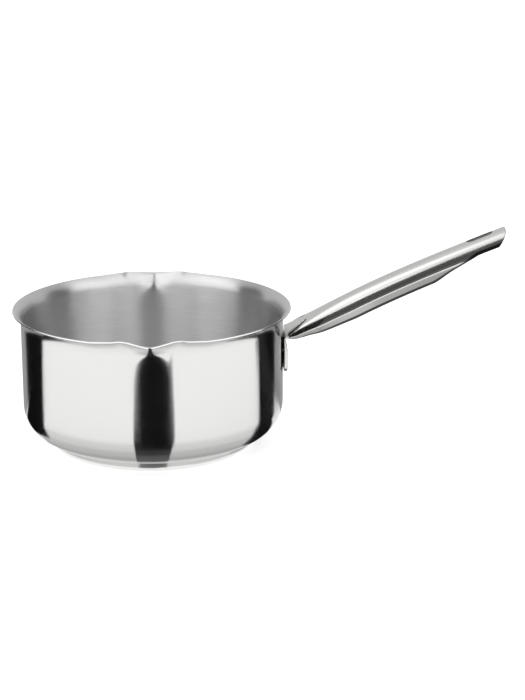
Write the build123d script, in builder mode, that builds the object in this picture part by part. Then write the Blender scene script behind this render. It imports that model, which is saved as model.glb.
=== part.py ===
from build123d import *
import os
from math import atan2, cos, degrees, hypot, radians, sin, tan

# Milk pan: a deep-drawn steel body with a flared, two-spouted rim, a sandwich base
# and one rolled sheet handle that is spot-welded to the wall.
# Millimetres, +Z up. The origin is the centre of the flat underside.
# The handle points along +X and the spouts along -Y and +Y.

# Driving dimensions
# Body
wall_outer_radius = 80.8
body_sheet = 0.8
corner_radius = 20.6
pan_height = 85.7

# Rim
flare_reach = 5.0
flare_rise = 7.5

# Spouts
spout_span = 35.0
spout_tip_out = 3.1
spout_tip_drop = 1.1
spout_shoulder_tuck = 1.25
spout_shoulder_lift = 1.55
# Places along the half spout, and how much tip and shoulder each place has
station_shares = (0.0, 0.17, 0.34, 0.45, 0.6, 0.8, 1.0)
tip_shares = (1.0, 0.45, 0.02, 0.0, 0.0, 0.0, 0.0)
shoulder_shares = (0.0, 0.47, 0.87, 1.0, 0.62, 0.28, 0.0)

# Sandwich base
base_radius = 63.8
base_height = 5.4
base_edge_radius = 3.2
cap_sheet = 0.6

# Handle sheet and its weld tab
handle_sheet = 0.9
tab_width = 27.0
tab_bottom = 45.4
tab_corner_radius = 4.0
bend_start = 66.9
bend_inner_radius = 1.9
weld_gap = 0.15

# Handle crown line, seen from the side
grip_reach = 134.6
grip_rise = 63.8
root_angle = 34.5
end_angle = 21.5
crown_mid_reach_share = 0.5
crown_mid_rise_share = 0.567

# Root of the grip, a shallow wedge that grows out of the tab
root_crown = 0.2
root_crease_depth = 3.6
root_depth = 8.0
root_edge_radius = 0.8

# Grip section
grip_width = 20.4
grip_depth = 17.4
arch_depth = 7.0
crease_depth = 8.7
crease_inner_radius = 1.9
keel_inner_radius = 0.3
swell_length = 60.0
# Places along the swelling, how far the section has swollen there,
# and how far its plane has turned from upright to square with the crown line.
# The first stations are solid, and the hollow starts after them
swell_place_shares = (0.0, 0.1, 0.21, 0.35, 0.55, 0.75, 1.0)
swell_shares = (0.0, 0.23, 0.44, 0.72, 0.9, 1.0, 1.0)
tilt_shares = (0.0, 0.3, 0.55, 0.8, 1.0, 1.0, 1.0)
solid_station_count = 2
grip_steps = 5

# Open end of the handle
wing_depth = 8.2
flap_end_back = 56.0
flap_middle_back = 40.0
flap_middle_depth = 12.7
wing_start_back = 22.0
end_slant = 7.9
end_bulge = 0.8

# Hanging slot
slot_length = 16.5
slot_width = 6.0
slot_end_margin = 8.6

# Weld nuggets
nugget_diameter = 5.0
nugget_spacing = 9.0

# Cuts run past what they cut by this much
overrun = 5.0

# Faces of one sheet that are this close count as meeting
seam_tolerance = 0.005

# Derived places
wall_inner_radius = wall_outer_radius - body_sheet
rim_radius = wall_outer_radius + flare_reach
span_angle = degrees(spout_span / rim_radius)
root_thickness = 2 * handle_sheet
tab_inner_face = wall_outer_radius + weld_gap
bend_outer_radius = bend_inner_radius + root_thickness
bend_turn = 90 - root_angle
bend_centre = (tab_inner_face + bend_outer_radius, bend_start)


def flare_arc(reach, rise):
    """Radius and turn in degrees of the arc that leaves the wall upright."""
    radius = hypot(reach, rise) ** 2 / (2 * reach)
    return radius, degrees(atan2(rise, radius - reach))


rim_turn = flare_arc(flare_reach, flare_rise)[1]
flare_start = pan_height - flare_rise - body_sheet * sin(radians(rim_turn))


def radial_plane(azimuth):
    """Upright plane through the pan's axis: x runs outward and y runs up."""
    angle = radians(azimuth)
    return Plane(
        origin=(0, 0, 0),
        x_dir=(cos(angle), sin(angle), 0),
        z_dir=(sin(angle), -cos(angle), 0),
    )


def flare_section(azimuth, reach, rise):
    """Section of the flared rim sheet, tangent to the wall at its foot."""
    radius, turn = flare_arc(reach, rise)
    centre = (wall_outer_radius + radius, flare_start)
    with BuildSketch(radial_plane(azimuth)) as section:
        with BuildLine():
            outer = CenterArc(centre, radius, 180, -turn)
            inner = CenterArc(centre, radius + body_sheet, 180, -turn)
            Line(outer @ 0, inner @ 0)
            Line(outer @ 1, inner @ 1)
        make_face()
    return section.sketch


# Flared rim: plain rim between the spouts
with BuildPart() as plain_rim:
    add(flare_section(span_angle - 90, flare_reach, flare_rise))
    revolve(axis=Axis.Z, revolution_arc=180 - 2 * span_angle)
    mirror(about=Plane.YZ)

# Flared rim: half a spout, from the tip to the plain rim, and its three mirror images
with BuildPart() as spouts:
    for place, tip, shoulder in zip(station_shares, tip_shares, shoulder_shares):
        reach = flare_reach + tip * spout_tip_out - shoulder * spout_shoulder_tuck
        rise = flare_rise - tip * spout_tip_drop + shoulder * spout_shoulder_lift
        add(flare_section(place * span_angle - 90, reach, rise))
    loft()
    mirror(about=Plane.YZ)
    mirror(about=Plane.XZ)

# Drawn cup: floor, rounded corner and upright wall
with BuildPart() as cup:
    with BuildSketch(Plane.XZ) as cup_section:
        with BuildLine():
            corner_centre = (wall_outer_radius - corner_radius, base_height + corner_radius)
            outer_corner = CenterArc(corner_centre, corner_radius, -90, 90)
            inner_corner = CenterArc(corner_centre, corner_radius - body_sheet, -90, 90)
            wall_top = (wall_outer_radius, flare_start), (wall_inner_radius, flare_start)
            floor_middle = (0, base_height + body_sheet), (0, base_height)
            Polyline(outer_corner @ 1, *wall_top, inner_corner @ 1)
            Polyline(inner_corner @ 0, *floor_middle, outer_corner @ 0)
        make_face()
    revolve(axis=Axis.Z)

# Pan body: the cup and its rim are one sheet, joined within the seam tolerance
with BuildPart() as pan_body:
    add(cup.part.fuse(plain_rim.part, spouts.part, tol=seam_tolerance))
pan_body.part.label = "pan_body"

# Heat-spreading aluminium core under the floor
with BuildPart() as base_core:
    with BuildSketch(Plane.XY.offset(cap_sheet)):
        Circle(base_radius - cap_sheet)
    extrude(amount=base_height - cap_sheet)
    fillet(base_core.edges().sort_by(Axis.Z)[0], base_edge_radius - cap_sheet)
base_core.part.label = "base_core"

# Steel cap that wraps the core
with BuildPart() as base_cap:
    with BuildSketch():
        Circle(base_radius)
    extrude(amount=base_height)
    fillet(base_cap.edges().sort_by(Axis.Z)[0], base_edge_radius)
    add(base_core.part, mode=Mode.SUBTRACT)
base_cap.part.label = "base_cap"

# Crown line of the handle, from the end of the bend to the tip
bend_end = (
    bend_centre[0] - bend_outer_radius * cos(radians(bend_turn)),
    bend_centre[1] + bend_outer_radius * sin(radians(bend_turn)),
)
crown_mid = (
    bend_end[0] + crown_mid_reach_share * grip_reach,
    bend_end[1] + crown_mid_rise_share * grip_rise,
)
crown_tip = (bend_end[0] + grip_reach, bend_end[1] + grip_rise)
root_direction = (cos(radians(root_angle)), sin(radians(root_angle)))
end_direction = (cos(radians(end_angle)), sin(radians(end_angle)))
with BuildLine(Plane.XZ) as crown_line:
    Spline(bend_end, crown_mid, crown_tip, tangents=[root_direction, end_direction])
crown = crown_line.edges()[0]


def crown_plane(distance, tilt=1.0):
    """Plane across the handle: x runs sideways, and a full tilt sets it square to the crown line."""
    share = distance / crown.length
    along = crown % share
    angle = tilt * atan2(along.Z, along.X)
    return Plane(origin=crown @ share, x_dir=(0, 1, 0), z_dir=(cos(angle), 0, sin(angle)))


def below_crown(from_tip, depth):
    """Point of the side view, so far back from the tip and so deep under the crown line."""
    point = crown_plane(crown.length - from_tip).from_local_coords((0, -depth, 0))
    return point.X, point.Z


def between(start, end, share):
    """Value that lies at a share of the way from start to end."""
    return start + (end - start) * share


def grip_section(distance, swell, tilt, inset=0.0):
    """Section of the rolled sheet, from the wedge at the root to the full grip."""
    outer_half = between(tab_width, grip_width, swell) / 2
    arch = between(root_crown, arch_depth, swell)
    crease = between(root_crease_depth, crease_depth, swell)
    depth = between(root_depth, grip_depth, swell)
    flap_angle = atan2(depth - crease, outer_half)
    half = outer_half - inset
    keel_height = inset / cos(flap_angle) - depth
    crease_height = inset / cos(flap_angle) - inset * tan(flap_angle) - crease
    crease_radius = between(root_edge_radius, crease_inner_radius + handle_sheet - inset, swell)
    with BuildSketch(crown_plane(distance, tilt)) as section:
        with BuildLine():
            ThreePointArc((-half, -arch), (0, -inset), (half, -arch))
            Line((half, -arch), (half, crease_height))
            Line((half, crease_height), (0, keel_height))
            Line((0, keel_height), (-half, crease_height))
            Line((-half, crease_height), (-half, -arch))
        make_face()
        fillet(section.vertices().sort_by(Axis.Y)[:1], keel_inner_radius + handle_sheet - inset)
        fillet(section.vertices().sort_by(Axis.Y)[2:4], crease_radius)
    return section.sketch


grip_stations = [
    (place * swell_length, swell, tilt)
    for place, swell, tilt in zip(swell_place_shares, swell_shares, tilt_shares)
]
for step in range(grip_steps):
    grip_stations.append((between(swell_length, crown.length, (step + 1) / grip_steps), 1.0, 1.0))

# Space inside the rolled sheet
with BuildPart() as grip_hollow:
    for distance, swell, tilt in grip_stations[solid_station_count:]:
        add(grip_section(distance, swell, tilt, handle_sheet))
    loft()

# Handle: rolled grip, then the bend and the weld tab
with BuildPart() as handle:
    for distance, swell, tilt in grip_stations:
        add(grip_section(distance, swell, tilt))
    loft()
    add(grip_hollow.part, mode=Mode.SUBTRACT)

    # The flaps run out in an S-curve, and the open end is cut back in an arc
    flap_end = below_crown(flap_end_back, grip_depth)
    flap_middle = below_crown(flap_middle_back, flap_middle_depth)
    wing_start = below_crown(wing_start_back, wing_depth)
    wing_end = below_crown(end_slant, wing_depth)
    end_middle = below_crown(end_slant / 2 - end_bulge, wing_depth / 2)
    with BuildSketch(Plane.XZ):
        with BuildLine():
            Spline(flap_end, flap_middle, wing_start, tangents=[end_direction, end_direction])
            Line(wing_start, wing_end)
            ThreePointArc(wing_end, end_middle, crown_tip)
            Polyline(
                crown_tip,
                (crown_tip[0] + grip_depth, crown_tip[1]),
                (crown_tip[0] + grip_depth, flap_end[1] - overrun),
                (flap_end[0], flap_end[1] - overrun),
                flap_end,
            )
        make_face()
    extrude(amount=grip_width, both=True, mode=Mode.SUBTRACT)

    # Hanging slot through the crown
    slot_middle = crown.length - slot_end_margin - slot_length / 2
    slot_direction = crown % (slot_middle / crown.length)
    slot_plane = Plane(
        origin=crown @ (slot_middle / crown.length),
        x_dir=slot_direction,
        z_dir=(-slot_direction.Z, 0, slot_direction.X),
    )
    with BuildSketch(slot_plane):
        SlotOverall(slot_length, slot_width)
    extrude(amount=arch_depth, both=True, mode=Mode.SUBTRACT)

    # Bend from the tab to the root
    with BuildSketch(Plane.XY.offset(bend_start)):
        with Locations((tab_inner_face + root_thickness / 2, 0)):
            Rectangle(root_thickness, tab_width)
    revolve(axis=Axis((bend_centre[0], 0, bend_centre[1]), (0, 1, 0)), revolution_arc=bend_turn)

    # Weld tab with rounded lower corners
    with BuildSketch(Plane.YZ.offset(tab_inner_face)) as tab_outline:
        with Locations((0, (tab_bottom + bend_start) / 2)):
            Rectangle(tab_width, bend_start - tab_bottom)
        fillet(tab_outline.vertices().sort_by(Axis.Y)[:2], tab_corner_radius)
    extrude(amount=root_thickness)
handle.part.label = "handle"

# Spot-weld nuggets that bridge the thin gap between the tab and the wall
with BuildPart() as spot_welds:
    with BuildSketch(Plane.YZ.offset(tab_inner_face)):
        with Locations((0, (tab_bottom + bend_start) / 2)):
            with GridLocations(nugget_spacing, nugget_spacing, 2, 2):
                Circle(nugget_diameter / 2)
    extrude(amount=-nugget_diameter)
    with BuildSketch():
        Circle(wall_outer_radius)
    extrude(amount=pan_height, mode=Mode.SUBTRACT)
spot_welds.part.label = "spot_welds"

os.makedirs("parts", exist_ok=True)
for piece in (pan_body, base_core, base_cap, handle, spot_welds):
    export_step(piece.part, f"parts/{piece.part.label}.step")
    solids = piece.part.solids()
    size = piece.part.bounding_box().size
    print(piece.part.label, len(solids), "solids", round(size.X, 1), round(size.Y, 1), round(size.Z, 1))
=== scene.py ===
"""Looks of a milk pan: brushed steel cup with two spouts, polished base and rolled handle."""

import logging
import math
from bisect import bisect_right
from dataclasses import dataclass, field
from enum import Enum, IntEnum
from typing import Any

import bmesh
import bpy
from mathutils import Matrix, Vector
from mathutils.geometry import interpolate_bezier


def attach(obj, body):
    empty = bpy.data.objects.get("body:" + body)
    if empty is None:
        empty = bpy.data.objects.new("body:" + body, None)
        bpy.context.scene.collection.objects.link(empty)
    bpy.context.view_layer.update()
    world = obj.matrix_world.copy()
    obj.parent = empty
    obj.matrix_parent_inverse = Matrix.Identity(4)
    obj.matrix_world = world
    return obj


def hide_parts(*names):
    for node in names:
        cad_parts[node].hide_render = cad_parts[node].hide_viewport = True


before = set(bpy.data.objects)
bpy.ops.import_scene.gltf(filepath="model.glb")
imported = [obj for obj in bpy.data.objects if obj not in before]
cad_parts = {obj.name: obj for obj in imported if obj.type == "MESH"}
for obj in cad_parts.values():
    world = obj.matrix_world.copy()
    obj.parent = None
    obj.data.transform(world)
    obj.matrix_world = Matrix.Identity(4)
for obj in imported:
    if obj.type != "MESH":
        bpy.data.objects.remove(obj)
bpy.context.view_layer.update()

Socket = bpy.types.NodeSocket
Curve = tuple[float, ...]
Outline = tuple[tuple[float, float], ...]
Runs = tuple[tuple[float, int], ...]
Tones = tuple[tuple[float, float, str], ...]
Arcs = tuple[tuple[str, float, float], ...]

MM = 0.001
MERGE_DISTANCE = 1e-6
SHARP_ANGLE = math.radians(60)
ROOT_BODY = "root"
log = logging.getLogger("milk_pan")


def linear(hex_colour: str) -> tuple[float, float, float, float]:
    """Turns an sRGB hex colour into the linear values that the shaders take.

    Args:
        hex_colour: Six hex digits, such as "D8D8D6".

    Returns:
        Linear red, green and blue, and an alpha of 1.
    """
    channels = [int(hex_colour[start : start + 2], 16) / 255 for start in (0, 2, 4)]
    red, green, blue = (
        value / 12.92 if value <= 0.04045 else ((value + 0.055) / 1.055) ** 2.4
        for value in channels
    )
    return red, green, blue, 1.0


def add_node(
    tree: bpy.types.NodeTree,
    kind: str,
    settings: dict[str | int, Any] | None = None,
    links: dict[str | int, Socket] | None = None,
) -> bpy.types.Node:
    """Adds one shader node with its settings and its incoming links.

    Args:
        tree: Node tree of a material or of the world.
        kind: Node type, such as "ShaderNodeMath".
        settings: Values of the node's properties, or of its inputs by name or number.
        links: Output socket that feeds each input, by name or number.

    Returns:
        The new node.
    """
    node = tree.nodes.new(kind)
    for key, value in (settings or {}).items():
        if isinstance(key, str) and hasattr(node, key):
            setattr(node, key, value)
        else:
            node.inputs[key].default_value = value
    for key, source in (links or {}).items():
        tree.links.new(source, node.inputs[key])
    return node


def empty_material(name: str) -> tuple[bpy.types.Material, bpy.types.NodeTree]:
    """Makes a node material with nothing in it.

    Args:
        name: Name of the finish.

    Returns:
        The material and its node tree.
    """
    material = bpy.data.materials.new(name)
    material.use_nodes = True
    material.node_tree.nodes.clear()
    return material, material.node_tree


class Grain(Enum):
    """Way that a brushing belt ran over a sheet."""

    ROUND_THE_AXIS = "round"
    ALONG_THE_HANDLE = "along"


@dataclass(frozen=True)
class BrushedMetal:
    """Sheet metal with fine parallel scratches from a belt, a wheel or a rolling mill.

    The scratches smear each reflection across the grain and keep it fairly crisp along it.
    One noise draws them, and sets the tone, the roughness and the bump of each.
    """

    name: str
    colour: str
    roughness: float
    anisotropy: float
    scratch_mm: float
    streak_mm: float
    scratch_depth_mm: float
    roughness_swing: float
    tone_swing: float
    grain: Grain = Grain.ROUND_THE_AXIS
    reach_mm: float = 80.0
    handle_slope: float = 26.0
    noise_detail: float = 3.0
    noise_roughness: float = 0.65
    noise_range: tuple[float, float] = (0.25, 0.75)
    # The tangent runs along the grain, and this quarter of a turn lays the blur across it.
    blur_turn: float = 0.25

    def grain_vector(self, tree: bpy.types.NodeTree) -> tuple[Socket, Socket | None, Socket]:
        """Works out where a point lies across and along the grain.

        Args:
            tree: Node tree of the material.

        Returns:
            Sockets for the scratch pattern's place, its fourth coordinate, which only a round
            grain has, and the tangent.
        """
        place = add_node(tree, "ShaderNodeTexCoord").outputs["Object"]
        across = 1 / (self.scratch_mm * MM)
        if self.grain is Grain.ALONG_THE_HANDLE:
            slope = math.radians(self.handle_slope)
            turned = add_node(
                tree, "ShaderNodeMapping", {"Rotation": (0.0, slope, 0.0)}, {"Vector": place}
            ).outputs["Vector"]
            scale = (1 / (self.streak_mm * MM), across, across)
            pattern = add_node(tree, "ShaderNodeMapping", {"Scale": scale}, {"Vector": turned})
            tangent = add_node(
                tree, "ShaderNodeCombineXYZ", {"X": math.cos(slope), "Z": math.sin(slope)}
            )
            return pattern.outputs["Vector"], None, tangent.outputs["Vector"]
        maths = "ShaderNodeVectorMath"
        height = add_node(tree, "ShaderNodeSeparateXYZ", links={"Vector": place}).outputs["Z"]
        flat = add_node(
            tree, maths, {"operation": "MULTIPLY", 1: (1, 1, 0)}, {0: place}
        ).outputs["Vector"]
        radius = add_node(tree, maths, {"operation": "LENGTH"}, {0: flat}).outputs["Value"]
        heading = add_node(tree, maths, {"operation": "NORMALIZE"}, {0: flat}).outputs["Vector"]
        streaks = {"operation": "SCALE", "Scale": self.reach_mm / self.streak_mm}
        turns = add_node(tree, maths, streaks, {0: heading}).outputs["Vector"]
        turned = add_node(tree, "ShaderNodeSeparateXYZ", links={"Vector": turns}).outputs
        scratches = {"operation": "MULTIPLY", 1: across}
        outward, upward = (
            add_node(tree, "ShaderNodeMath", scratches, {0: length}).outputs["Value"]
            for length in (radius, height)
        )
        pattern = add_node(
            tree, "ShaderNodeCombineXYZ", links={"X": outward, "Y": upward, "Z": turned["X"]}
        ).outputs["Vector"]
        upright = {"operation": "CROSS_PRODUCT", 0: (0.0, 0.0, 1.0)}
        tangent = add_node(tree, maths, upright, {1: heading}).outputs["Vector"]
        return pattern, turned["Y"], tangent

    def spread(self, tree: bpy.types.NodeTree, noise: Socket, low: float, high: float) -> Socket:
        """Spreads the noise over a range of values.

        Args:
            tree: Node tree of the material.
            noise: The scratches.
            low: Value at the noise's low end.
            high: Value at its high end.

        Returns:
            The spread value.
        """
        least, most = self.noise_range
        ends = {"From Min": least, "From Max": most, "To Min": low, "To Max": high}
        return add_node(tree, "ShaderNodeMapRange", ends, {"Value": noise}).outputs["Result"]

    def material(self) -> bpy.types.Material:
        """Builds the finish.

        Returns:
            The material.
        """
        material, tree = empty_material(self.name)
        pattern, fourth, tangent = self.grain_vector(tree)
        links = {"Vector": pattern}
        if fourth is not None:
            links["W"] = fourth
        noise = {
            "noise_dimensions": "4D",
            "Scale": 1.0,
            "Detail": self.noise_detail,
            "Roughness": self.noise_roughness,
        }
        scratches = add_node(tree, "ShaderNodeTexNoise", noise, links).outputs["Fac"]
        swing = self.roughness_swing
        rough = self.spread(tree, scratches, self.roughness - swing, self.roughness + swing)
        tone = self.spread(tree, scratches, 1 - self.tone_swing, 1.0)
        base = {"operation": "SCALE", 0: linear(self.colour)[:3]}
        colour = add_node(tree, "ShaderNodeVectorMath", base, {"Scale": tone}).outputs["Vector"]
        relief = {"Strength": 1.0, "Distance": self.scratch_depth_mm * MM}
        bump = add_node(tree, "ShaderNodeBump", relief, {"Height": scratches}).outputs["Normal"]
        metal = {
            "Metallic": 1.0,
            "Anisotropic": self.anisotropy,
            "Anisotropic Rotation": self.blur_turn,
        }
        shader = add_node(
            tree,
            "ShaderNodeBsdfPrincipled",
            metal,
            {"Base Color": colour, "Roughness": rough, "Normal": bump, "Tangent": tangent},
        ).outputs["BSDF"]
        add_node(tree, "ShaderNodeOutputMaterial", links={"Surface": shader})
        return material


# Stainless steel sheet, deep-drawn and brushed round with a fine belt. To the eye a bright
# mirror of the room whose bands fade up and down. The belt's lines, under 0.1 mm apart, are
# too fine to show, so they are drawn 0.5 mm apart.
BODY = BrushedMetal(
    name="brushed_stainless_steel",
    colour="DCDCDB",
    roughness=0.17,
    anisotropy=1.0,
    scratch_mm=0.5,
    streak_mm=25.0,
    scratch_depth_mm=0.004,
    roughness_swing=0.03,
    tone_swing=0.04,
)

# The same sheet's inner face, satin-ground after drawing. To the eye soft upright bands with
# no sharp edge, under faint lines. The lines, about 0.1 mm apart, are drawn 0.8 mm apart.
INSIDE = BrushedMetal(
    name="satin_stainless_steel_inside",
    colour="E4E4E4",
    roughness=0.31,
    anisotropy=1.0,
    scratch_mm=0.8,
    streak_mm=16.0,
    scratch_depth_mm=0.002,
    roughness_swing=0.04,
    tone_swing=0.14,
)

# The sheet's cut edge, ground round and buffed. To the eye one thin bright line along the
# rim. Its marks, under 0.1 mm apart, are drawn 0.3 mm apart.
LIP = BrushedMetal(
    name="ground_steel_lip",
    colour="F6F6F5",
    roughness=0.15,
    anisotropy=0.3,
    scratch_mm=0.3,
    streak_mm=40.0,
    scratch_depth_mm=0.001,
    roughness_swing=0.03,
    tone_swing=0.02,
)

# Stainless steel sheet, stamped, rolled into the handle and brushed along it. To the eye long
# highlights with soft sides. The lines, under 0.1 mm apart, are drawn 0.4 mm apart.
GRIP = BrushedMetal(
    name="satin_handle_steel",
    colour="E2E2E0",
    roughness=0.2,
    anisotropy=0.5,
    scratch_mm=0.4,
    streak_mm=30.0,
    scratch_depth_mm=0.002,
    roughness_swing=0.03,
    tone_swing=0.03,
    grain=Grain.ALONG_THE_HANDLE,
)

# The handle's sheared edges, dull and dark as the tools left them. The same dark grey is laid in
# its pressed creases and along the flap's turned edge as painted shade. To the eye dull dark lines
# along outlines and creases. The marks, about 0.1 mm, are drawn at 0.5 mm.
EDGE_AND_SHADE = BrushedMetal(
    name="sheared_edge_and_painted_shade",
    colour="4A4A48",
    roughness=0.35,
    anisotropy=0.0,
    scratch_mm=0.5,
    streak_mm=8.0,
    scratch_depth_mm=0.003,
    roughness_swing=0.05,
    tone_swing=0.15,
    grain=Grain.ALONG_THE_HANDLE,
)

# The handle's inner face, as the rolling mill left it and never brushed, set darker than the
# outside as painted shade of the closed hollow. To the eye a flat grey with no clear reflection.
# The roll marks, about 0.1 mm, are drawn at 0.8 mm.
SHADED_HOLLOW = BrushedMetal(
    name="mill_finish_steel_painted_shade",
    colour="8E8E8B",
    roughness=0.5,
    anisotropy=0.3,
    scratch_mm=0.8,
    streak_mm=15.0,
    scratch_depth_mm=0.004,
    roughness_swing=0.06,
    tone_swing=0.12,
    grain=Grain.ALONG_THE_HANDLE,
)

# Stainless steel capsule under the pan, polished round its axis. To the eye a bright ring
# with soft reflections of the floor. The lines, under 0.1 mm, are drawn at 0.4 mm.
RING = BrushedMetal(
    name="polished_base_steel",
    colour="F6F6F5",
    roughness=0.24,
    anisotropy=0.6,
    scratch_mm=0.4,
    streak_mm=30.0,
    scratch_depth_mm=0.002,
    roughness_swing=0.03,
    tone_swing=0.04,
)

# Stainless steel melted and set again between two electrodes, tinted by the heat, and made dark
# grey as painted shade of the narrow gap between the tab and the wall. To the eye small dark matt
# spots. Their grain, about 0.1 mm, is drawn at 0.5 mm.
WELDS_AND_GAP_SHADE = BrushedMetal(
    name="heat_tinted_weld_steel_gap_shade",
    colour="4A4744",
    roughness=0.55,
    anisotropy=0.0,
    scratch_mm=0.5,
    streak_mm=2.0,
    scratch_depth_mm=0.01,
    roughness_swing=0.08,
    tone_swing=0.25,
)

# Aluminium disc, punched from rolled plate. To the eye pale, dull and slightly cool, but the
# capsule hides it. The roll marks, about 0.1 mm apart, are drawn 0.6 mm apart.
CORE = BrushedMetal(
    name="rolled_aluminium_core",
    colour="D4D5D6",
    roughness=0.4,
    anisotropy=0.4,
    scratch_mm=0.6,
    streak_mm=20.0,
    scratch_depth_mm=0.003,
    roughness_swing=0.05,
    tone_swing=0.06,
)


def placed(
    name: str, bm: bmesh.types.BMesh, materials: list[bpy.types.Material]
) -> bpy.types.Object:
    """Turns a finished mesh into an object of the scene.

    Args:
        name: Name of the object.
        bm: The mesh, which is freed.
        materials: Materials in the order of the faces' numbers.

    Returns:
        The object.
    """
    mesh = bpy.data.meshes.new(name)
    bm.to_mesh(mesh)
    bm.free()
    for material in materials:
        mesh.materials.append(material)
    made = bpy.data.objects.new(name, mesh)
    bpy.context.scene.collection.objects.link(made)
    return made


def finished_piece(
    name: str, bm: bmesh.types.BMesh, materials: list[bpy.types.Material], node: str
) -> bpy.types.Object:
    """Turns a finished mesh into a piece that stands for a CAD node.

    Args:
        name: Name of the piece.
        bm: The mesh, which is freed.
        materials: Materials in the order of the faces' numbers.
        node: CAD node that the piece stands for.

    Returns:
        The piece.
    """
    for face in bm.faces:
        face.smooth = True
    piece = placed(name, bm, materials)
    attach(piece, ROOT_BODY)
    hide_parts(node)
    return piece


def round_edges(bm: bmesh.types.BMesh, rounding: float, segments: int, number: int) -> None:
    """Rounds every sharp edge of a mesh.

    Args:
        bm: The mesh.
        rounding: Width of the rounding on each side in millimetres.
        segments: Number of faces across it.
        number: Material number of the new faces.
    """
    rounded = bmesh.ops.bevel(
        bm,
        geom=[edge for edge in bm.edges if edge.calc_face_angle(0) > SHARP_ANGLE],
        offset=rounding * MM,
        affect="EDGES",
        segments=segments,
        profile=0.5,
        material=-1,
    )
    for face in rounded["faces"]:
        face.material_index = number


def eased(value: float, places: Curve, levels: Curve) -> float:
    """Reads a smooth curve through given points.

    Args:
        value: Where the curve is read.
        places: Rising places of the points.
        levels: Height of the curve at each point.

    Returns:
        The height there.
    """
    if value >= places[-1]:
        return levels[-1]
    value = max(value, places[0])
    last = len(places) - 1
    slopes = [0.0]
    for index in range(1, last):
        before = (levels[index] - levels[index - 1]) / (places[index] - places[index - 1])
        after = (levels[index + 1] - levels[index]) / (places[index + 1] - places[index])
        slopes.append(2 * before * after / (before + after) if before * after > 0 else 0.0)
    slopes.append(0.0)
    if levels[0] != levels[1]:
        slopes[0] = (levels[1] - levels[0]) / (places[1] - places[0])
    index = max(0, next(i for i in range(1, last + 1) if value <= places[i]) - 1)
    step = places[index + 1] - places[index]
    t = (value - places[index]) / step
    return (
        (2 * t**3 - 3 * t**2 + 1) * levels[index]
        + (t**3 - 2 * t**2 + t) * step * slopes[index]
        + (3 * t**2 - 2 * t**3) * levels[index + 1]
        + (t**3 - t**2) * step * slopes[index + 1]
    )


def spaced(start: float, stops: list[tuple[float, int]]) -> list[float]:
    """Lists evenly spaced values, run by run.

    Args:
        start: First value.
        stops: End of each run and its number of steps.

    Returns:
        The values.
    """
    values = [start]
    for stop, steps in stops:
        begin = values[-1]
        values += [begin + (stop - begin) * (step + 1) / steps for step in range(steps)]
    return values


def points_at(path: list[Vector], shares: list[float]) -> list[Vector]:
    """Reads points of a path at shares of its length.

    Args:
        path: Corners of the path.
        shares: Rising shares from 0 to 1.

    Returns:
        One point for each share.
    """
    lengths = [0.0]
    for before, point in zip(path, path[1:]):
        lengths.append(lengths[-1] + (point - before).length)
    points = []
    for share in shares:
        reached = share * lengths[-1]
        index = min(max(bisect_right(lengths, reached), 1), len(path) - 1)
        step = lengths[index] - lengths[index - 1]
        points.append(path[index - 1].lerp(path[index], (reached - lengths[index - 1]) / step))
    return points


class ShellFace(IntEnum):
    """Material numbers of the cup's faces."""

    SHEET = 0
    LIP = 1
    INSIDE = 2


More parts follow.
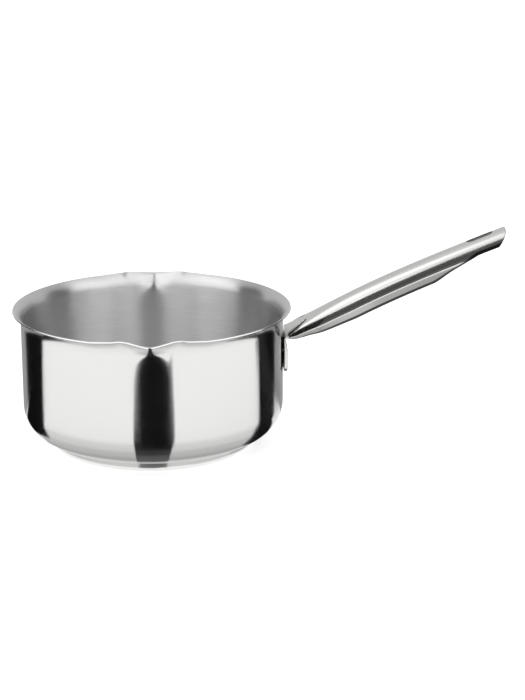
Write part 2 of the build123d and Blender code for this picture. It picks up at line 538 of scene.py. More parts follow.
@dataclass
class PanShell:
    """Deep-drawn cup with its flared rim and two pouring spouts. Sizes are in millimetres.

    Shoulders are read by distance from a spout's keel, and the keel itself by height. A face
    is an inner one when it looks towards the axis, or up, tilted by inward_rise.
    """

    wall_radius: float = 80.8
    sheet: float = 0.8
    corner_radius: float = 20.6
    floor_height: float = 5.4
    pan_height: float = 85.7
    flare_reach: float = 5.0
    flare_rise: float = 7.5
    spout_span: float = 35.0
    tip_out: float = 3.1
    tip_drop: float = 1.1
    shoulder_tuck: float = 1.25
    shoulder_lift: float = 1.55
    lip_rounding: float = 0.3
    lip_segments: int = 3
    inward_rise: float = 20.0
    keel_rounding: float = 1.9
    tip_half_width: float = 10.0
    tip_fade: float = 0.1
    shoulder_places: Curve = (0.0, 5.95, 9.5, 11.9, 15.75, 21.0, 28.0, 35.0)
    shoulder_levels: Curve = (0.0, 0.34, 0.55, 0.82, 1.0, 0.62, 0.28, 0.0)
    keel_heights: Curve = (62.0, 70.0, 73.0, 75.0, 77.0, 78.8, 80.1, 81.2, 82.3, 83.5, 84.9)
    keel_depths: Curve = (0.0, 0.15, 0.35, 0.65, 1.2, 2.1, 2.9, 3.0, 2.5, 1.5, 0.0)
    turns: int = 720
    spout_crowding: float = 0.75
    floor_shares: Curve = (0.2, 0.6, 1.0)
    corner_steps: int = 14
    wall_shares: Curve = (0.3, 0.65, 1.0)
    keel_steps: int = 16
    flare_steps: int = 14

    def flare_arc(self, reach: float, rise: float) -> tuple[float, float]:
        """Works out the flare's arc, which leaves the wall upright.

        Args:
            reach: How far out the arc goes.
            rise: How far up it goes.

        Returns:
            Its radius, and its turn in radians.
        """
        radius = (reach**2 + rise**2) / (2 * reach)
        return radius, math.atan2(rise, radius - reach)

    @property
    def flare_start(self) -> float:
        """Height at which the wall starts to flare."""
        turn = self.flare_arc(self.flare_reach, self.flare_rise)[1]
        return self.pan_height - self.flare_rise - self.sheet * math.sin(turn)

    def sweep(
        self,
        bm: bmesh.types.BMesh,
        end: bmesh.types.BMVert,
        centre: Vector,
        turn: float,
        steps: int,
    ) -> bmesh.types.BMVert:
        """Carries the profile on along an arc.

        Args:
            bm: Mesh that holds the profile.
            end: Last point of the profile so far.
            centre: Centre of the arc, in metres.
            turn: Angle of the arc about the Y axis, in radians.
            steps: Number of edges on the arc.

        Returns:
            The profile's new last point.
        """
        made = bmesh.ops.spin(
            bm,
            geom=[end],
            cent=centre,
            axis=(0, 1, 0),
            angle=turn,
            steps=steps,
            use_duplicate=False,
        )
        return next(item for item in made["geom_last"] if isinstance(item, bmesh.types.BMVert))

    def run(
        self, bm: bmesh.types.BMesh, end: bmesh.types.BMVert, radius: float, height: float
    ) -> bmesh.types.BMVert:
        """Carries the profile on in a straight line.

        Args:
            bm: Mesh that holds the profile.
            end: Last point of the profile so far.
            radius: Distance from the axis at which the line ends.
            height: Height at which it ends.

        Returns:
            The profile's new last point.
        """
        made = bmesh.ops.extrude_vert_indiv(bm, verts=[end])["verts"][0]
        made.co = Vector((radius, 0, height)) * MM
        return made

    def outer_profile(self, bm: bmesh.types.BMesh) -> None:
        """Draws the outside of the cup from the middle of its floor to the lip.

        Args:
            bm: Empty mesh that takes the profile.
        """
        inner = self.wall_radius - self.corner_radius
        point = bm.verts.new((0, 0, self.floor_height * MM))
        for share in self.floor_shares:
            point = self.run(bm, point, share * inner, self.floor_height)
        corner_top = self.floor_height + self.corner_radius
        centre = Vector((inner, 0, corner_top)) * MM
        point = self.sweep(bm, point, centre, -math.pi / 2, self.corner_steps)
        keel_foot = self.keel_heights[0]
        heights = [corner_top + share * (keel_foot - corner_top) for share in self.wall_shares]
        heights += spaced(keel_foot, [(self.flare_start, self.keel_steps)])[1:]
        for height in heights:
            point = self.run(bm, point, self.wall_radius, height)
        radius, turn = self.flare_arc(self.flare_reach, self.flare_rise)
        centre = Vector((self.wall_radius + radius, 0, self.flare_start)) * MM
        self.sweep(bm, point, centre, turn, self.flare_steps)

    def crowd_columns(self, bm: bmesh.types.BMesh) -> None:
        """Slides the columns of faces round the wall, so that they stand closer at the spouts.

        Args:
            bm: Skin of the cup.
        """
        for vert in bm.verts:
            azimuth = math.atan2(vert.co.y, vert.co.x)
            slide = self.spout_crowding / 2 * math.sin(2 * (azimuth - math.pi / 2))
            vert.co = Matrix.Rotation(-slide, 3, "Z") @ vert.co

    def pull_spouts(self, bm: bmesh.types.BMesh) -> None:
        """Pulls the two spouts out of the plain flare, point by point.

        Each spout is a V with a rounded keel. Its sides run straight to the shoulders,
        and the keel fades out below the flare.

        Args:
            bm: Skin of the cup.
        """
        plain_radius, plain_turn = self.flare_arc(self.flare_reach, self.flare_rise)
        for vert in bm.verts:
            height = vert.co.z / MM
            if height < self.keel_heights[0]:
                continue
            azimuth = math.atan2(vert.co.x, abs(vert.co.y))
            along = azimuth * (self.wall_radius + self.flare_reach)
            away = math.hypot(along, self.keel_rounding) - self.keel_rounding
            if away > self.spout_span:
                continue
            slope = 1 - away / self.tip_half_width
            tip = (slope + math.hypot(slope, self.tip_fade)) / 2
            shoulder = eased(away, self.shoulder_places, self.shoulder_levels)
            out = self.wall_radius
            up = height
            if height > self.flare_start:
                risen = min(1.0, (height - self.flare_start) / plain_radius)
                share = math.asin(risen) / plain_turn
                radius, turn = self.flare_arc(
                    self.flare_reach + tip * self.tip_out - shoulder * self.shoulder_tuck,
                    self.flare_rise - tip * self.tip_drop + shoulder * self.shoulder_lift,
                )
                out += radius - radius * math.cos(share * turn)
                up = self.flare_start + radius * math.sin(share * turn)
            out += tip * eased(height, self.keel_heights, self.keel_depths)
            heading = Vector((vert.co.x, vert.co.y, 0)).normalized()
            vert.co = (heading * out + Vector((0, 0, up))) * MM

    def build(
        self, body: bpy.types.Material, lip: bpy.types.Material, inside: bpy.types.Material
    ) -> bpy.types.Object:
        """Builds the cup as one sheet of even thickness with a rounded lip.

        Args:
            body: Finish of the sheet.
            lip: Finish of the ground lip.
            inside: Finish of the sheet's inner face.

        Returns:
            The piece.
        """
        bm = bmesh.new()
        self.outer_profile(bm)
        bmesh.ops.spin(
            bm,
            geom=bm.verts[:] + bm.edges[:],
            cent=(0, 0, 0),
            axis=(0, 0, 1),
            angle=2 * math.pi,
            steps=self.turns,
            use_merge=True,
            use_duplicate=False,
        )
        bmesh.ops.remove_doubles(bm, verts=bm.verts, dist=MERGE_DISTANCE)
        self.crowd_columns(bm)
        self.pull_spouts(bm)
        bmesh.ops.recalc_face_normals(bm, faces=bm.faces)
        if sum(face.normal.z * face.calc_area() for face in bm.faces) > 0:
            bmesh.ops.reverse_faces(bm, faces=bm.faces)
        bmesh.ops.solidify(bm, geom=bm.faces[:], thickness=self.sheet * MM)
        for face in bm.faces:
            middle = face.calc_center_median()
            inwards = Vector((-middle.x, -middle.y, self.inward_rise * MM))
            inner = face.normal.dot(inwards) > 0
            face.material_index = ShellFace.INSIDE if inner else ShellFace.SHEET
        round_edges(bm, self.lip_rounding, self.lip_segments, ShellFace.LIP)
        return finished_piece("pan_shell", bm, [body, lip, inside], "pan_body")


class HandleFace(IntEnum):
    """Material numbers of the handle's faces."""

    GRIP = 0
    # Sheared edges, and the painted shade in the creases and along the flap's edge.
    EDGE_AND_SHADE = 1
    # Unbrushed inner face, darkened as painted shade of the hollow.
    SHADED_HOLLOW = 2


@dataclass(frozen=True)
class SkinPoint:
    """Where a point of the handle's skin lies on the flat blank, in millimetres.

    Its share is of the way from the middle of the back to the flap's edge, and pressed says
    how deep a crease is there.
    """

    place: float
    across: float
    share: float
    pressed: float


@dataclass
class RolledHandle:
    """Handle rolled from one sheet: doubled weld tab, bend, creased root, grip and open end.

    Sizes are in millimetres. A place along the handle is measured on its back, from the end
    of the bend. The weld tab has negative places. Rows and runs are pairs of an end and a
    number of steps, and the far rows' ends are measured back from the tip.
    """

    sheet: float = 0.85
    tab_face: float = 80.95
    tab_bottom: float = 45.4
    tab_corner: float = 4.0
    bend_start: float = 66.9
    bend_radius: float = 3.7
    reach: float = 134.6
    rise: float = 63.8
    root_angle: float = 34.5
    end_angle: float = 21.5
    middle_shares: tuple[float, float] = (0.5, 0.567)
    line_steps: int = 160
    places: Curve = (-10.5, -8.5, -6.5, -3.6, 0.0, 3.0, 6.0, 12.6, 21.0, 33.0, 45.0)
    lean_shares: Curve = (1.0, 0.73, 0.52, 0.28, 0.12, 0.19, 0.3, 0.55, 0.8, 1.0, 1.0)
    halves: Curve = (13.5, 13.5, 13.5, 13.5, 13.5, 13.1, 12.7, 12.0, 11.1, 10.5, 10.2)
    depths: Curve = (2.3, 2.35, 2.7, 4.3, 6.4, 8.5, 10.2, 12.1, 14.8, 16.5, 17.4)
    creases: Curve = (2.15, 2.15, 2.15, 2.2, 2.9, 3.6, 4.6, 5.8, 7.3, 8.2, 8.7)
    crease_radii: Curve = (0.35, 0.35, 0.35, 0.5, 0.8, 1.0, 1.3, 1.7, 2.2, 2.6, 2.8)
    back_powers: Curve = (20.0, 20.0, 20.0, 12.0, 6.0, 4.4, 3.8, 3.0, 2.4, 2.1, 2.0)
    back_steps: int = 60
    crease_steps: int = 12
    keel_steps: int = 8
    keel_radius: float = 1.2
    seam: float = 0.3
    dart_places: Curve = (0.0, 2.0, 9.0, 12.0, 15.5)
    dart_depths: Curve = (0.0, 2.6, 2.4, 1.8, 0.0)
    dart_from: float = 13.3
    dart_drift: float = 0.55
    dart_half_width: float = 0.95
    # Creases pressed deeper than this wear the dark edge finish as painted shade.
    crease_shade_depth: float = 0.08
    flap_backs: Curve = (22.0, 40.0, 56.0)
    flap_depths: Curve = (8.2, 12.7, 17.4)
    end_slant: float = 7.9
    end_bulge: float = 0.8
    slot_length: float = 16.5
    slot_width: float = 6.0
    slot_margin: float = 8.6
    edge_rounding: float = 0.2
    edge_segments: int = 2
    tip_trim: float = 0.35
    # Beyond this share of the way to the flap's edge, faces wear the dark edge finish as painted
    # shade.
    flap_shade_share: float = 0.84
    column_runs: Runs = ((0.25, 14), (0.62, 34), (0.94, 10), (1.0, 5))
    tab_rows: tuple[int, int] = (8, 5)
    near_rows: Runs = ((0.0, 18), (16.0, 40), (45.0, 26))
    far_rows: Runs = ((60.0, 16), (26.0, 30))
    tip_rows: int = 48
    line: list[Vector] = field(init=False)
    lengths: list[float] = field(init=False)
    slopes: list[float] = field(init=False)

    def __post_init__(self) -> None:
        """Draws the back line from the end of the bend to the tip, as one smooth curve."""
        turn = math.radians(90 - self.root_angle)
        start = Vector((self.tab_face, self.bend_start)) + self.bend_radius * Vector(
            (1 - math.cos(turn), math.sin(turn))
        )
        middle_share, middle_rise = self.middle_shares
        middle = start + Vector((middle_share * self.reach, middle_rise * self.rise))
        tip = start + Vector((self.reach, self.rise))
        near = (middle - start).length
        far = (tip - middle).length
        leaving, arriving = (
            Vector((math.cos(math.radians(angle)), math.sin(math.radians(angle))))
            for angle in (self.root_angle, self.end_angle)
        )
        passing = 3 * (tip - middle) / far**2 + 3 * (middle - start) / near**2
        passing = (passing - arriving / far - leaving / near) / (2 / near + 2 / far)
        first = (start, start + leaving * near / 3, middle - passing * near / 3, middle)
        second = (middle, middle + passing * far / 3, tip - arriving * far / 3, tip)
        self.line = interpolate_bezier(*first, self.line_steps)[:-1]
        self.line += interpolate_bezier(*second, self.line_steps)
        self.lengths = [0.0]
        self.slopes = [math.radians(self.root_angle)]
        for before, point in zip(self.line, self.line[1:]):
            step = point - before
            self.lengths.append(self.lengths[-1] + step.length)
            self.slopes.append(math.atan2(step.y, step.x))

    @property
    def length(self) -> float:
        """Length of the back line."""
        return self.lengths[-1]

    @property
    def bend_length(self) -> float:
        """Length of the bend on the back."""
        return self.bend_radius * math.radians(90 - self.root_angle)

    def back(self, place: float) -> tuple[Vector, float]:
        """Finds a point of the back line.

        Args:
            place: Place along the handle.

        Returns:
            The point in the side view, and the line's slope there in radians.
        """
        if place < -self.bend_length:
            height = self.bend_start + place + self.bend_length
            return Vector((self.tab_face, height)), math.pi / 2
        if place < 0:
            turn = (place + self.bend_length) / self.bend_radius
            foot = Vector((self.tab_face, self.bend_start))
            bent = self.bend_radius * Vector((1 - math.cos(turn), math.sin(turn)))
            return foot + bent, math.pi / 2 - turn
        index = min(bisect_right(self.lengths, place), len(self.lengths) - 1)
        begin, end = self.lengths[index - 1], self.lengths[index]
        share = (place - begin) / (end - begin)
        slope = self.slopes[index - 1] + share * (self.slopes[index] - self.slopes[index - 1])
        return self.line[index - 1].lerp(self.line[index], share), slope

    def point(self, place: float, across: float, depth: float) -> Vector:
        """Finds a point of the outer skin in metres.

        Args:
            place: Place along the handle.
            across: Distance to the side.
            depth: Depth under the back.

        Returns:
            The point.
        """
        foot, slope = self.back(place)
        lean = slope * eased(place, self.places, self.lean_shares)
        along, up = foot.x + depth * math.sin(lean), foot.y - depth * math.cos(lean)
        return Vector((along, across, up)) * MM

    def back_shape(self, place: float) -> tuple[float, float, float]:
        """Works out the rounded back at a place.

        Args:
            place: Place along the handle.

        Returns:
            Half its width, its depth and the power of its superellipse.
        """
        half = eased(place, self.places, self.halves)
        crease = eased(place, self.places, self.creases)
        radius = eased(place, self.places, self.crease_radii)
        power = eased(place, self.places, self.back_powers)
        turn = math.atan2(half, eased(place, self.places, self.depths) - crease)
        return half, crease - radius * math.tan(turn / 2), power

    def section(self, place: float) -> list[Vector]:
        """Draws half a section, from the middle of the back round the side to the flap's edge.

        Args:
            place: Place along the handle.

        Returns:
            Points across the handle and down from its back.
        """
        half, side_end, power = self.back_shape(place)
        depth = eased(place, self.places, self.depths)
        radius = eased(place, self.places, self.crease_radii)
        turn = math.atan2(half, depth - eased(place, self.places, self.creases))
        path = []
        for step in range(self.back_steps + 1):
            angle = math.pi / 2 * step / self.back_steps
            fall = 1 - max(0.0, math.cos(angle)) ** (2 / power)
            path.append(Vector((half * math.sin(angle) ** (2 / power), side_end * fall)))
        for step in range(1, self.crease_steps + 1):
            angle = turn * step / self.crease_steps
            across = half - radius * (1 - math.cos(angle))
            path.append(Vector((across, side_end + radius * math.sin(angle))))
        keel_centre = depth - self.keel_radius / math.sin(turn)
        for step in range(self.keel_steps + 1):
            angle = turn + (math.pi / 2 - turn) * step / self.keel_steps
            across = self.keel_radius * math.cos(angle)
            if across > self.seam:
                path.append(Vector((across, keel_centre + self.keel_radius * math.sin(angle))))
        path.append(Vector((self.seam / 2, keel_centre + self.keel_radius)))
        return self.trimmed(path, self.length - place)

    def trimmed(self, path: list[Vector], left: float) -> list[Vector]:
        """Cuts a section short where the flaps taper off towards the open end.

        Args:
            path: Half a section.
            left: Length of handle that is left beyond it.

        Returns:
            The part of the section that stays.
        """
        if left >= self.flap_backs[-1]:
            return path
        limit = eased(left, self.flap_backs, self.flap_depths)
        kept = [path[0]]
        for point in path[1:]:
            if point.y > limit:
                share = (limit - kept[-1].y) / (point.y - kept[-1].y)
                kept.append(kept[-1].lerp(point, share))
                break
            kept.append(point)
        return kept

    def dart(self, place: float, across: float, depth: float) -> float:
        """Presses in the creases where the flat tab becomes the round grip.

        Args:
            place: Place along the handle.
            across: Distance to the side.
            depth: Depth under the back.

        Returns:
            How far the skin is pressed in there.
        """
        away = across - (self.dart_from - self.dart_drift * place)
        on_back = max(0.0, 1 - 2 * depth / eased(place, self.places, self.creases))
        pressed = eased(place, self.dart_places, self.dart_depths) * on_back
        return pressed * math.exp(-((away / self.dart_half_width) ** 2))

    def slot_distance(self, place: float, across: float) -> tuple[float, Vector]:
        """Measures how far a point of the back lies outside the hanging slot.

        Args:
            place: Place along the handle.
            across: Distance to the side.

        Returns:
            The distance, less than 0 inside the slot, and the way straight out.
        """
        middle = self.length - self.slot_margin - self.slot_length / 2
        straight = (self.slot_length - self.slot_width) / 2
        along = place - middle
        out = Vector((math.copysign(max(abs(along) - straight, 0.0), along), across))
        return out.length - self.slot_width / 2, out.normalized()

    def cut_slot(
        self, bm: bmesh.types.BMesh, skin: dict[bmesh.types.BMVert, SkinPoint]
    ) -> None:
        """Cuts the hanging slot through the back and draws its rim smooth.

        Args:
            bm: Outer skin of the handle.
            skin: Place of each vertex on the flat blank.
        """
        inside = []
        for face in bm.faces:
            place = sum(skin[vert].place for vert in face.verts) / len(face.verts)
            across = sum(skin[vert].across for vert in face.verts) / len(face.verts)
            if face.normal.z > 0 and self.slot_distance(place, across)[0] < 0:
                inside.append(face)
        doomed = set(inside)
        rim = [
            vert
            for vert in {vert for face in inside for vert in face.verts}
            if any(face not in doomed for face in vert.link_faces)
        ]
        for vert in rim:
            place, across = skin[vert].place, skin[vert].across
            distance, out = self.slot_distance(place, across)
            place -= distance * out.x
            across -= distance * out.y
            half, side_end, power = self.back_shape(place)
            fall = 1 - (1 - (abs(across) / half) ** power) ** (1 / power)
            vert.co = self.point(place, across, side_end * fall)
        bmesh.ops.delete(bm, geom=inside, context="FACES")

    def roll(self, bm: bmesh.types.BMesh) -> dict[bmesh.types.BMVert, SkinPoint]:
        """Lays out the flat blank as a grid and rolls it into the handle's outer skin.

        Args:
            bm: Empty mesh that takes the skin.

        Returns:
            Place of each vertex on the flat blank.
        """
        tab_foot = self.tab_bottom - self.bend_start - self.bend_length
        shares = spaced(0.0, list(self.column_runs))
        stops = list(zip((tab_foot + self.tab_corner, self.places[0]), self.tab_rows))
        stops += self.near_rows
        stops += [
            (self.length - left, steps)
            for left, steps in (*self.far_rows, (self.tip_trim, self.tip_rows))
        ]
        rows = spaced(tab_foot, stops)
        sides, last_row = len(shares) - 1, len(rows) - 1
        bmesh.ops.create_grid(bm, x_segments=2 * sides, y_segments=last_row, size=1.0)
        sections = [points_at(self.section(place), shares) for place in rows]
        skin = {}
        for vert in bm.verts:
            column = round((vert.co.x + 1) * sides) - sides
            row = round((vert.co.y + 1) / 2 * last_row)
            place = rows[row]
            across, depth = sections[row][abs(column)]
            pressed = self.dart(place, across, depth)
            depth += pressed
            up = place - tab_foot
            if up < self.tab_corner:
                cut = self.tab_corner - math.sqrt(self.tab_corner**2 - (self.tab_corner - up) ** 2)
                across *= 1 - cut / self.halves[0]
            near_end = min(max(1 - (self.length - place) / self.flap_backs[0], 0.0), 1.0)
            share = depth / self.flap_depths[0]
            slant = self.end_slant * share - 4 * self.end_bulge * share * (1 - share)
            place -= slant * near_end**2 * (3 - 2 * near_end)
            across = math.copysign(across, column)
            skin[vert] = SkinPoint(place, across, shares[abs(column)], pressed)
            vert.co = self.point(place, across, depth)
        return skin

    def is_painted_shade(self, points: list[SkinPoint]) -> bool:
        """Tells whether a face lies in a crease or on the flap's folded edge, where the dark edge
        finish is painted shade.

        Args:
            points: The face's corners on the flat blank.

        Returns:
            True for a face that wears the edges' finish as painted shade.
        """
        creased = min(point.pressed for point in points) > self.crease_shade_depth
        on_strip = min(point.share for point in points) > self.flap_shade_share
        past_darts = min(point.place for point in points) > self.dart_places[2]
        return creased or (on_strip and past_darts)

    def build(
        self, grip: bpy.types.Material, edge: bpy.types.Material, hollow: bpy.types.Material
    ) -> bpy.types.Object:
        """Rolls a flat blank into the handle, cuts its slot and rounds its edges.

        Args:
            grip: Finish of the handle.
            edge: Finish of its cut edges, and the painted shade in its creases and along the
                flap's edge.
            hollow: Finish of its unbrushed inner face, darkened as painted shade.

        Returns:
            The piece.
        """
        bm = bmesh.new()
        skin = self.roll(bm)
        bmesh.ops.recalc_face_normals(bm, faces=bm.faces)
        highest = max(bm.faces, key=lambda face: face.calc_center_median().z)
        if highest.normal.z < 0:
            bmesh.ops.reverse_faces(bm, faces=bm.faces)
        bm.normal_update()
        self.cut_slot(bm, skin)
        outer = set(bm.faces)
        # Creases and the flap's turned edge wear the dark edge finish: painted shade.
        folded = {face for face in outer if self.is_painted_shade([skin[vert] for vert in face.verts])}
        bmesh.ops.solidify(bm, geom=bm.faces[:], thickness=self.sheet * MM)
        for face in bm.faces:
            face.material_index = HandleFace.GRIP if face in outer else HandleFace.SHADED_HOLLOW
            if face in folded:
                face.material_index = HandleFace.EDGE_AND_SHADE
        round_edges(bm, self.edge_rounding, self.edge_segments, HandleFace.EDGE_AND_SHADE)
        return finished_piece("rolled_handle", bm, [grip, edge, hollow], "handle")


@dataclass
class Studio:
    """Pale floor, white surroundings and the cards that give the steel its bands, in metres.

    Arcs are azimuths in degrees, from 0 at the camera's side, growing towards +X. The front
    outline is a distance from the axis and half the card's width there.
    """

    floor_half: float = 5.0
    floor_tone: str = "E6E6E6"
    seen_lift: float = 0.58
    reflected_lift: float = 0.4
    white: str = "FFFFFF"
    black: str = "020202"
    card_lift: float = 0.0006
    turn_steps: int = 24
    near_tones: tuple[str, ...] = ("646464", "3C3C3C")
    front_outline: Outline = (
        (0.066, 0.0095),
        (0.08, 0.0125),
        (0.094, 0.0165),
        (0.165, 0.0398),
        (0.2, 0.0502),
        (0.3, 0.0728),
        (0.75, 0.16),
    )
    front_drift: float = 0.036
    front_height: float = 1.25
    foot_arc: float = 75.0
    # Cards round the foot, grey just outside it and lighter further out: painted contact shadow,
    # seen in the pan's lower corner.
    foot_shade_rings: Tones = (
        (0.0636, 0.0684, "FCFCFC"),
        (0.0684, 0.076, "B8B8B8"),
        (0.076, 0.088, "D2D2D2"),
        (0.088, 0.115, "EEEEEE"),
    )
    flag_plane: float = -0.02
    upper_flag: Outline = ((0.105, 0.0743), (0.235, 0.134), (0.235, 0.153), (0.105, 0.0933))
    lower_flag: Outline = ((0.105, 0.0543), (0.235, 0.113), (0.235, 0.134), (0.105, 0.0743))
    root_flag: Outline = ((0.086, 0.0), (0.105, 0.0), (0.105, 0.0933), (0.086, 0.085))
    upper_tone: str = "484848"
    lower_tone: str = "606060"
    handle_floor_depths: tuple[float, float] = (0.045, 0.09)
    handle_floor_tones: Tones = (
        (0.118, 0.14, "EAEAEA"),
        (0.14, 0.175, "DADADA"),
        (0.175, 0.24, "C6C6C6"),
    )
    rear_floor_span: tuple[float, float] = (0.125, 0.24)
    rear_floor_tone: str = "909090"
    flag_distance: float = 0.3
    flag_height: float = 0.29
    flag_arcs: Arcs = (("left", -131, -95), ("right", 89, 123))
    low_flag_height: float = 0.085
    low_flags: tuple[tuple[str, Outline], ...] = (
        ("left", ((-0.148, -0.016), (-0.1285, 0.046))),
        ("right", ((0.1, -0.038), (0.1, -0.021))),
    )
    side_floors: tuple[tuple[str, Outline], ...] = (
        ("left", ((-0.078, -0.036), (-0.148, -0.016), (-0.1285, 0.046), (-0.08, 0.02))),
        ("right", ((0.0585, -0.043), (0.1, -0.038), (0.1, 0.0), (0.066, -0.005))),
    )
    back_tone: str = "A4A4A4"
    back_near: float = 0.075
    back_far: float = 0.75
    back_height: float = 0.1
    back_arcs: Arcs = (("left", 205, 232), ("right", 128, 155))
    back_floors: Arcs = (("left", 205, 249), ("right", 112, 155))
    # Name, arc's start and end, lower and upper edge, distance, tone and strength.
    panels: tuple[tuple[str, float, float, float, float, float, str, float], ...] = (
        ("back_panel", 98, 262, 0.05, 1.9, 1.5, "D0D0D0", 1.0),
        ("upper_back_panel", 130, 228, 1.9, 4.6, 1.5, "DEDEDE", 1.0),
        ("left_top_panel", -125, -55, 1.3, 3.5, 0.9, "FFFFFF", 1.5),
        ("left_panel", -98, -16, 0.0, 1.3, 0.9, "FFFFFF", 1.42),
        ("right_panel", 16, 98, 0.0, 1.3, 0.9, "FFFFFF", 1.42),
    )

    def card(
        self, name: str, corners: list[tuple[float, float, float]], tone: str
    ) -> bpy.types.Object:
        """Makes a flat card that shows only in reflections.

        Args:
            name: Name of the card.
            corners: Its corners in order.
            tone: Grey of the card, an sRGB hex colour.

        Returns:
            The card.
        """
        bm = bmesh.new()
        bmesh.ops.contextual_create(bm, geom=[bm.verts.new(corner) for corner in corners])
        return self.stage_piece(name, bm, tone)

    def lying_card(self, name: str, outline: Outline, tone: str) -> bpy.types.Object:
        """Lays a flat card just over the floor."""
        return self.card(name, [(*corner, self.card_lift) for corner in outline], tone)

    def standing_card(self, name: str, foot: Outline, height: float) -> bpy.types.Object:
        """Makes a black card that stands on the floor.

        Args:
            name: Name of the card.
            foot: Both ends of its foot.
            height: Height of the card.

        Returns:
            The card.
        """
        start, end = foot
        corners = [(*start, 0.0), (*end, 0.0), (*end, height), (*start, height)]
        return self.card(name, corners, self.black)

    def curved_card(
        self,
        name: str,
        start: float,
        end: float,
        low: float,
        high: float,
        distance: float,
        tone: str,
        strength: float = 1.0,
    ) -> bpy.types.Object:
        """Makes a curved card that stands round the pan.

        Args:
            name: Name of the card.
            start: First azimuth.
            end: Last azimuth.
            low: Height of its lower edge.
            high: Height of its upper edge.
            distance: Distance from the pan's axis.
            tone: Grey of the card, an sRGB hex colour.
            strength: Brightness of the card.

        Returns:
            The card.
        """
        first = math.radians(start - 90)
        foot = Vector((math.cos(first), math.sin(first), 0)) * distance
        places = [foot + Vector((0, 0, height)) for height in (low, high)]
        return self.stage_piece(name, self.turned(places, end - start), tone, strength)

    def floor_slice(
        self, name: str, start: float, end: float, near: float, far: float, tone: str
    ) -> bpy.types.Object:
        """Makes a card shaped as a slice of a ring, lying on the floor.

        Args:
            name: Name of the card.
            start: First azimuth.
            end: Last azimuth.
            near: Inner radius of the slice.
            far: Outer radius of the slice.
            tone: Grey of the card, an sRGB hex colour.

        Returns:
            The card.
        """
        first = math.radians(start - 90)
        ray = Vector((math.cos(first), math.sin(first), 0))
        lift = Vector((0, 0, self.card_lift / 2))
        places = [ray * distance + lift for distance in (near, far)]
        return self.stage_piece(name, self.turned(places, end - start), tone)

    def turned(self, places: list[Vector], angle: float) -> bmesh.types.BMesh:
        """Turns a straight edge about the pan's axis into a strip.

        Args:
            places: The edge's two ends.
            angle: Angle of the turn in degrees.

        Returns:
            The strip.
        """
        bm = bmesh.new()
        verts = [bm.verts.new(place) for place in places]
        edge = bm.edges.new(verts)
        bmesh.ops.spin(
            bm,
            geom=verts + [edge],
            cent=(0, 0, 0),
            axis=(0, 0, 1),
            angle=math.radians(angle),
            steps=self.turn_steps,
            use_duplicate=False,
        )
        return bm

    def stage_piece(
        self, name: str, bm: bmesh.types.BMesh, tone: str, strength: float = 1.0
    ) -> bpy.types.Object:
        """Turns a mesh into a card that neither the camera nor the floor sees.

        Args:
            name: Name of the card.
            bm: The mesh, which is freed.
            tone: Grey of the card, an sRGB hex colour.
            strength: Brightness of the card.

        Returns:
            The card.
        """
        # Matt coated studio card. To the eye one even grey in the steel's reflections.
        material, tree = empty_material(name)
        glow = add_node(
            tree, "ShaderNodeEmission", {"Color": linear(tone), "Strength": strength}
        ).outputs["Emission"]
        add_node(tree, "ShaderNodeOutputMaterial", links={"Surface": glow})
        card = placed(name, bm, [material])
        card.visible_camera = False
        card.visible_diffuse = False
        card.visible_shadow = False
        card.visible_transmission = False
        return card

    def floor(self) -> bpy.types.Object:
        """Lays a pale floor that is white away from the pan and keeps its shadow.

        Returns:
            The floor.
        """
        bm = bmesh.new()
        bmesh.ops.create_grid(bm, x_segments=1, y_segments=1, size=self.floor_half)
        # Uncoated backdrop paper. To the eye plain white without shine, under a soft shadow.
        material, tree = empty_material("pale_floor")
        rays = add_node(tree, "ShaderNodeLightPath").outputs
        seen = add_node(
            tree,
            "ShaderNodeMapRange",
            {"To Min": self.reflected_lift, "To Max": self.seen_lift},
            {"Value": rays["Is Camera Ray"]},
        ).outputs["Result"]
        matt = add_node(
            tree, "ShaderNodeBsdfDiffuse", {"Color": linear(self.floor_tone), "Roughness": 0.0}
        ).outputs["BSDF"]
        lift = add_node(
            tree, "ShaderNodeEmission", {"Color": linear(self.white)}, {"Strength": seen}
        ).outputs["Emission"]
        both = add_node(tree, "ShaderNodeAddShader", links={0: matt, 1: lift}).outputs["Shader"]
        add_node(tree, "ShaderNodeOutputMaterial", links={"Surface": both})
        floor = placed("floor", bm, [material])
        return floor

    def surroundings(self) -> None:
        """Sets a white world, which lights the pan softly from all sides."""
        world = bpy.data.worlds.new("white_studio")
        world.use_nodes = True
        tree = world.node_tree
        tree.nodes.clear()
        glow = add_node(
            tree, "ShaderNodeBackground", {"Color": linear(self.white), "Strength": 1.0}
        ).outputs["Background"]
        add_node(tree, "ShaderNodeOutputWorld", links={"Surface": glow})
        bpy.context.scene.world = world

    def front_cards(self) -> None:
        """Lays the dark strip in front of the pan and stands a card at its far end."""
        near_edge = self.front_outline[0][0]
        right, left = (
            [
                (side * half + self.front_drift * (away - near_edge), -away)
                for away, half in self.front_outline
            ]
            for side in (1, -1)
        )
        for index, tone in enumerate(self.near_tones):
            corners = right[index : index + 2] + left[index : index + 2][::-1]
            self.lying_card(f"near_front_floor_card_{index}", corners, tone)
        first = len(self.near_tones)
        self.lying_card("front_floor_card", right[first:] + left[first:][::-1], self.black)
        self.standing_card("front_card", (left[-1], right[-1]), self.front_height)

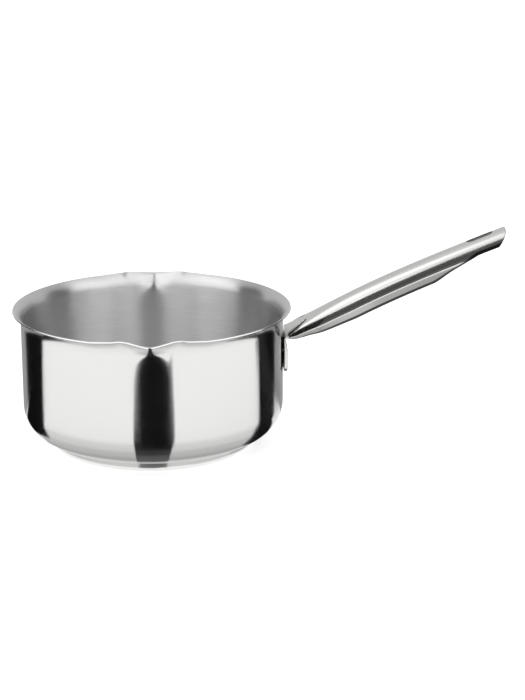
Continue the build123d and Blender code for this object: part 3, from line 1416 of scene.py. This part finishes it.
    def handle_cards(self) -> None:
        """Stands the flags beside the handle and lays the cards under it."""
        for name, outline, tone in (
            ("upper_handle_flag", self.upper_flag, self.upper_tone),
            ("lower_handle_flag", self.lower_flag, self.lower_tone),
            ("root_flag", self.root_flag, self.black),
        ):
            self.card(name, [(x, self.flag_plane, z) for x, z in outline], tone)
        near, far = self.handle_floor_depths
        for start, end, tone in self.handle_floor_tones:
            corners = ((start, 0.0), (end, 0.0), (end, near), (start, near))
            self.lying_card(f"handle_floor_card_{round(start / MM)}", corners, tone)
        start, end = self.rear_floor_span
        corners = ((start, near), (end, near), (end, far), (start, far))
        self.lying_card("rear_handle_floor_card", corners, self.rear_floor_tone)

    def side_cards(self) -> None:
        """Stands and lays the black cards that give the wall its dark bands at the sides."""
        height, distance = self.flag_height, self.flag_distance
        for side, start, end in self.flag_arcs:
            self.curved_card(f"{side}_flag", start, end, 0, height, distance, self.black)
        for side, foot in self.low_flags:
            self.standing_card(f"{side}_low_flag", foot, self.low_flag_height)
        for side, outline in self.side_floors:
            self.lying_card(f"{side}_floor_card", outline, self.black)

    def back_cards(self) -> None:
        """Stands and lays the grey cards behind the pan, which draw its sides."""
        near, far, tone = self.back_near, self.back_far, self.back_tone
        for side, start, end in self.back_arcs:
            self.curved_card(f"{side}_back_card", start, end, 0.0, self.back_height, far, tone)
        for side, start, end in self.back_floors:
            self.floor_slice(f"{side}_back_floor_card", start, end, near, far, tone)

    def set_up(self) -> None:
        """Sets the whole studio up."""
        self.floor()
        self.surroundings()
        self.front_cards()
        # Grey rings round the foot: painted contact shadow under the pan, seen only in its
        # reflections.
        for near, far, tone in self.foot_shade_rings:
            name = f"foot_shade_ring_card_{round(near / MM)}"
            self.floor_slice(name, -self.foot_arc, self.foot_arc, near, far, tone)
        self.handle_cards()
        self.side_cards()
        self.back_cards()
        for panel in self.panels:
            self.curved_card(*panel)
        bpy.context.scene.view_settings.view_transform = "Standard"


@dataclass
class PhotoCamera:
    """Camera at the photograph's place. Its sizes were worked out from the pan's outline."""

    place_mm: tuple[float, float, float] = (23.77, -1100.38, 383.40)
    yaw: float = 0.0403
    pitch: float = 0.2886
    focal_pixels: float = 1844.9
    frame_height_pixels: float = 700.0
    sensor_mm: float = 36.0
    clip: tuple[float, float] = (0.05, 30.0)

    def set_up(self) -> bpy.types.Object:
        """Places the camera and makes it the scene's own.

        Returns:
            The camera object.
        """
        data = bpy.data.cameras.new("photo_camera")
        data.sensor_width = self.sensor_mm
        data.lens = self.sensor_mm * self.focal_pixels / self.frame_height_pixels
        data.clip_start, data.clip_end = self.clip
        camera = bpy.data.objects.new("photo_camera", data)
        bpy.context.scene.collection.objects.link(camera)
        forward = Vector(
            (
                math.sin(self.yaw) * math.cos(self.pitch),
                math.cos(self.yaw) * math.cos(self.pitch),
                -math.sin(self.pitch),
            )
        )
        right = Vector((math.cos(self.yaw), -math.sin(self.yaw), 0))
        up = right.cross(forward)
        turn = Matrix((right, up, -forward)).transposed().to_4x4()
        camera.matrix_world = Matrix.Translation(Vector(self.place_mm) * MM) @ turn
        bpy.context.scene.camera = camera
        return camera


def dress_node(node: str, material: bpy.types.Material) -> None:
    """Gives a CAD node that stays as it is a better material.

    Args:
        node: Name of the node.
        material: Its finish.
    """
    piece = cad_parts[node]
    for slot in piece.material_slots:
        slot.material = material
    log.info("%s keeps its mesh and wears %s", node, material.name)


def main() -> None:
    """Builds the pan piece by piece, then the studio and the camera."""
    logging.basicConfig(level=logging.INFO, format="%(name)s: %(message)s")
    shell = PanShell().build(BODY.material(), LIP.material(), INSIDE.material())
    log.info("%s has %d faces", shell.name, len(shell.data.polygons))
    dress_node("base_cap", RING.material())
    dress_node("base_core", CORE.material())
    # The welds' dark grey is partly painted shade of the gap they sit in.
    dress_node("spot_welds", WELDS_AND_GAP_SHADE.material())
    handle = RolledHandle().build(GRIP.material(), EDGE_AND_SHADE.material(), SHADED_HOLLOW.material())
    log.info("%s has %d faces", handle.name, len(handle.data.polygons))
    Studio().set_up()
    PhotoCamera().set_up()


if __name__ == "__main__":
    main()
